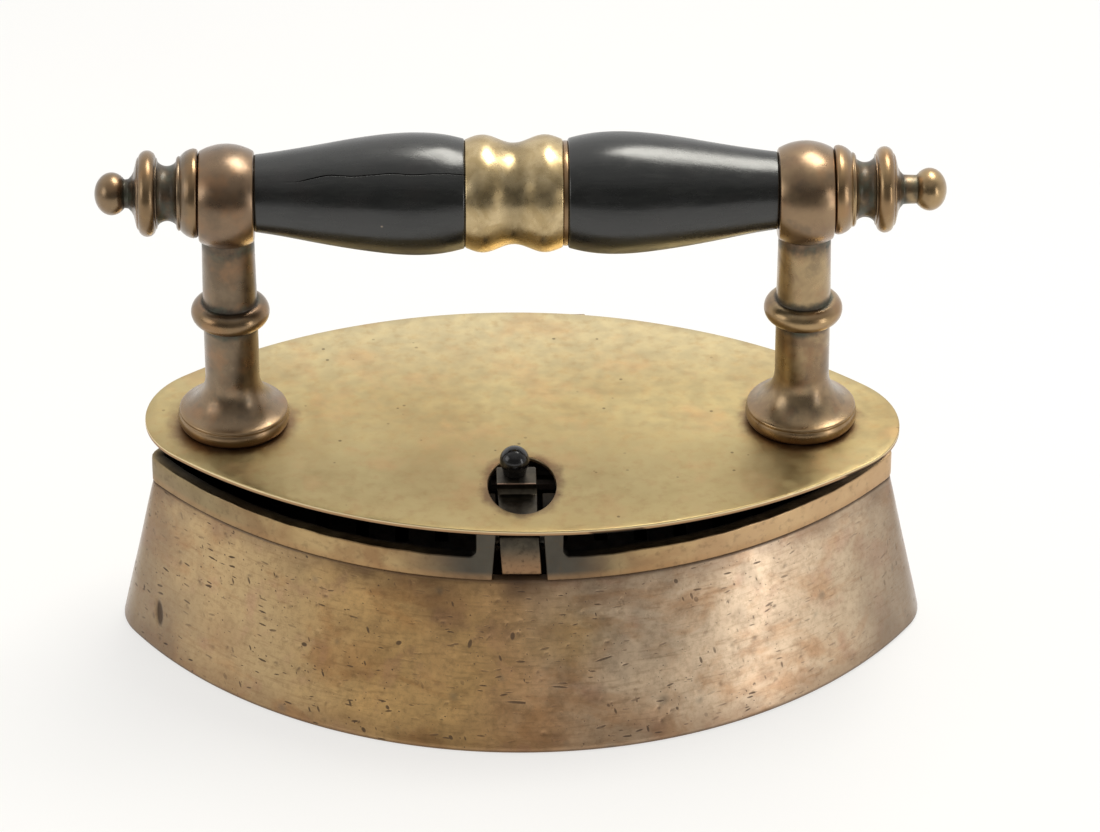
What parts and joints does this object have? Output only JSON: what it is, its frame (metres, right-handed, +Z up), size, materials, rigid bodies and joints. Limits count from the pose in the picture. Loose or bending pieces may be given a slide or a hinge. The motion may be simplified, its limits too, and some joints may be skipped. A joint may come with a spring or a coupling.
{
  "type": "charcoal iron",
  "caption": "Brass charcoal iron: pointed hollow body with a fire grate, hinged cover with a columned two-grip handle, and a sprung knob latch.",
  "frame": {"origin": "centre of the sole's underside", "axes": "+X along the iron to its right-hand tip, seen from the latch side; +Y from the latch side to the hinge side; +Z up"},
  "size_m": [0.198, 0.1204, 0.1319],
  "materials": {
    "body_brass": "satin, pitted casting",
    "rim_brass": "satin, darkened",
    "cover_brass": "satin, mottled",
    "turned_bronze": "polished, dark patina",
    "ferrule_brass": "polished",
    "latch_brass": "dark patina",
    "ebonised_wood": "satin black",
    "black_knob": "glossy black",
    "grate_iron": "sooty",
    "sheet_iron": "sooty",
    "steel": "dull"
  },
  "bodies": {
    "iron_base": {"body_casting": "body_brass", "rim_frame": "rim_brass", "fire_grate": "grate_iron", "grate_pegs": "grate_iron", "hinge_pin": "steel", "latch_pin": "steel", "latch_spring": "steel", "spring_rivet": "steel"},
    "cover": {"cover_plate": "cover_brass", "heat_shield": "sheet_iron", "shield_spacers": "sheet_iron", "nut_washers": "sheet_iron", "column_nuts": "sheet_iron", "column_left": "turned_bronze", "column_right": "turned_bronze", "handle_rod": "steel", "grip_left": "ebonised_wood", "grip_right": "ebonised_wood", "centre_ferrule": "ferrule_brass", "grip_washer": "ferrule_brass", "finial_left": "turned_bronze", "finial_right": "turned_bronze", "hinge_leaf": "rim_brass", "leaf_screws": "steel", "keeper_staple": "sheet_iron"},
    "latch": {"latch_lever": "latch_brass", "latch_knob": "black_knob"}
  },
  "joints": [
    {"name": "cover_hinge", "type": "hinge", "parent": "iron_base", "child": "cover", "pos_m": [0, 0.0505, 0.05], "axis": [-1, 0, 0], "range_deg": [0, 100]},
    {"name": "latch_swing", "type": "hinge", "parent": "iron_base", "child": "latch", "pos_m": [0, -0.033, 0.0425], "axis": [1, 0, 0], "range_deg": [-7, 0]}
  ]
}
